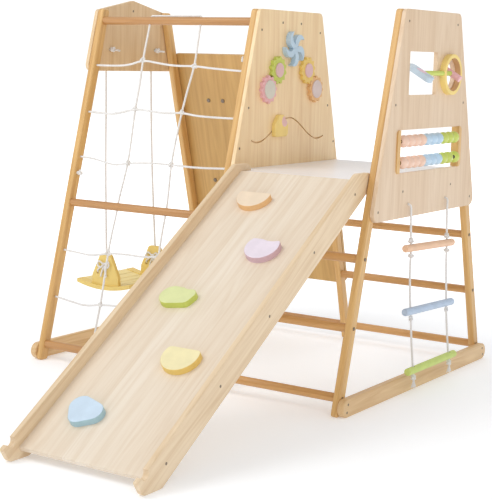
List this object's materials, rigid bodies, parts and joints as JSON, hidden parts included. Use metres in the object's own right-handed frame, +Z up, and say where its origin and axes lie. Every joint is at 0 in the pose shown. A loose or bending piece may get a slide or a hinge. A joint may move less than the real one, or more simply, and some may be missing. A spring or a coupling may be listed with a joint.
{
  "type": "indoor climbing set with slide ramp",
  "caption": "Indoor toddler climbing set of A-frames with a hooked-on slide ramp, platform, climbing net, climbing wall, swing, rope ladder and activity panels.",
  "frame": {"origin": "middle of the whole footprint on the floor", "axes": "+Z up, -Y towards the foot of the ramp, +X towards the abacus end"},
  "size_m": [1.4313, 2.0236, 1.2874],
  "materials": {
    "frame_wood": "clear-varnished pine",
    "dowel_wood": "clear-varnished beech dowel",
    "panel_wood": "clear-varnished pine panel",
    "ramp_wood": "pale clear-varnished pine panel",
    "white_laminate": "white laminated board",
    "dark_steel": "bronzed steel",
    "pale_dowel": "plain dowel",
    "white_rope": "braided cotton rope",
    "yellow_paint": "satin water-based paint on wood",
    "seat_yellow": "satin water-based paint on wood",
    "orange_paint": "satin water-based paint on wood",
    "green_paint": "satin water-based paint on wood",
    "blue_paint": "satin water-based paint on wood",
    "lilac_paint": "satin water-based paint on wood",
    "pink_paint": "satin water-based paint on wood",
    "peach_paint": "satin water-based paint on wood",
    "grip_plastic": "moulded grip"
  },
  "bodies": {
    "root": {"abacus_frame": "pale_dowel", "activity_panel": "panel_wood", "climbing_wall": "panel_wood", "frame_bolts": "dark_steel", "gear_panel": "panel_wood", "house_panel": "panel_wood", "ladder_rope_stubs": "white_rope", "left_bottom_rails": "dowel_wood", "left_foot_bar": "frame_wood", "left_front_leg": "frame_wood", "left_rear_leg": "frame_wood", "middle_front_leg": "frame_wood", "middle_rear_leg": "frame_wood", "net_knots": "white_rope", "net_rails": "dowel_wood", "net_rows": "white_rope", "net_verticals": "white_rope", "panel_screws": "dark_steel", "platform_board": "white_laminate", "platform_rails": "dowel_wood", "port_ring": "yellow_paint", "right_bottom_rails": "dowel_wood", "right_foot_bar": "frame_wood", "right_front_leg": "frame_wood", "right_rear_leg": "frame_wood", "side_rungs": "dowel_wood", "swing_rope_stubs": "white_rope", "toy_pins": "dark_steel", "wall_hold_bolts": "dark_steel", "wall_holds": "grip_plastic"},
    "ramp": {"ramp_board": "ramp_wood", "ramp_left_rail": "ramp_wood", "ramp_right_rail": "ramp_wood", "ramp_screws": "dark_steel", "orange_hold": "orange_paint", "lilac_hold": "lilac_paint", "green_hold": "green_paint", "yellow_hold": "yellow_paint", "blue_hold": "blue_paint"},
    "swing": {"swing_ropes": "white_rope", "swing_end_boards": "seat_yellow", "swing_side_plates": "seat_yellow", "swing_slats": "seat_yellow"},
    "ladder": {"ladder_ropes": "white_rope", "ladder_knots": "white_rope", "peach_ladder_rung": "peach_paint", "blue_ladder_rung": "blue_paint", "green_ladder_rung": "green_paint"},
    "green_wheel": {"green_gear": "green_paint"},
    "pink_wheel": {"pink_gear": "pink_paint"},
    "yellow_wheel": {"yellow_gear": "yellow_paint"},
    "orange_wheel": {"orange_gear": "orange_paint"},
    "pinwheel_disc": {"pinwheel": "blue_paint"},
    "slider": {"track_slider": "yellow_paint"},
    "spinner": {"spinner_rod": "green_paint", "spinner_paddle": "blue_paint", "spinner_bar": "pink_paint"},
    "top_beads": {"top_bead_row": "peach_paint"},
    "bottom_beads": {"bottom_bead_row": "peach_paint"},
    "end_bead": {"bottom_end_bead": "green_paint"}
  },
  "joints": [
    {"name": "ramp_lift", "type": "hinge", "parent": "root", "child": "ramp", "pos_m": [0.38525, 0.13543, 0.685], "axis": [-1, 0, 0], "range_deg": [0, 8]},
    {"name": "swing_sway", "type": "hinge", "parent": "root", "child": "swing", "pos_m": [-0.60865, 0.47185, 1.016], "axis": [0, 1, 0], "range_deg": [-30, 30]},
    {"name": "ladder_sway", "type": "hinge", "parent": "root", "child": "ladder", "pos_m": [0.67175, 0.47185, 0.606], "axis": [0, -1, 0], "range_deg": [0, 60]},
    {"name": "green_gear_spin", "type": "hinge", "parent": "root", "child": "green_wheel", "pos_m": [0.11715, 0.37385, 1.046], "axis": [1, 0, 0], "continuous": true},
    {"name": "pink_gear_spin", "type": "hinge", "parent": "root", "child": "pink_wheel", "pos_m": [0.11715, 0.31485, 0.98], "axis": [1, 0, 0], "continuous": true},
    {"name": "yellow_gear_spin", "type": "hinge", "parent": "root", "child": "yellow_wheel", "pos_m": [0.11715, 0.56985, 1.046], "axis": [1, 0, 0], "continuous": true},
    {"name": "orange_gear_spin", "type": "hinge", "parent": "root", "child": "orange_wheel", "pos_m": [0.11715, 0.62885, 0.98], "axis": [1, 0, 0], "continuous": true},
    {"name": "pinwheel_spin", "type": "hinge", "parent": "root", "child": "pinwheel_disc", "pos_m": [0.11715, 0.47185, 1.12], "axis": [1, 0, 0], "continuous": true},
    {"name": "slider_slide", "type": "slide", "parent": "root", "child": "slider", "axis": [0, 0.9301, 0.3674], "range_m": [-0.14, 0.072]},
    {"name": "spinner_spin", "type": "hinge", "parent": "root", "child": "spinner", "pos_m": [0.67075, 0.47185, 1.05], "axis": [0, 1, 0], "continuous": true},
    {"name": "top_beads_slide", "type": "slide", "parent": "root", "child": "top_beads", "axis": [0, 1, 0], "range_m": [-0.007, 0.0092]},
    {"name": "bottom_beads_slide", "type": "slide", "parent": "root", "child": "bottom_beads", "axis": [0, 1, 0], "range_m": [0, 0.0049]},
    {"name": "end_bead_slide", "type": "slide", "parent": "root", "child": "end_bead", "axis": [0, 1, 0], "range_m": [-0.0049, 0.0005]}
  ],
  "couplings": [
    {"joint": "pink_gear_spin", "follows": "green_gear_spin", "ratio": -1},
    {"joint": "orange_gear_spin", "follows": "yellow_gear_spin", "ratio": -1}
  ]
}
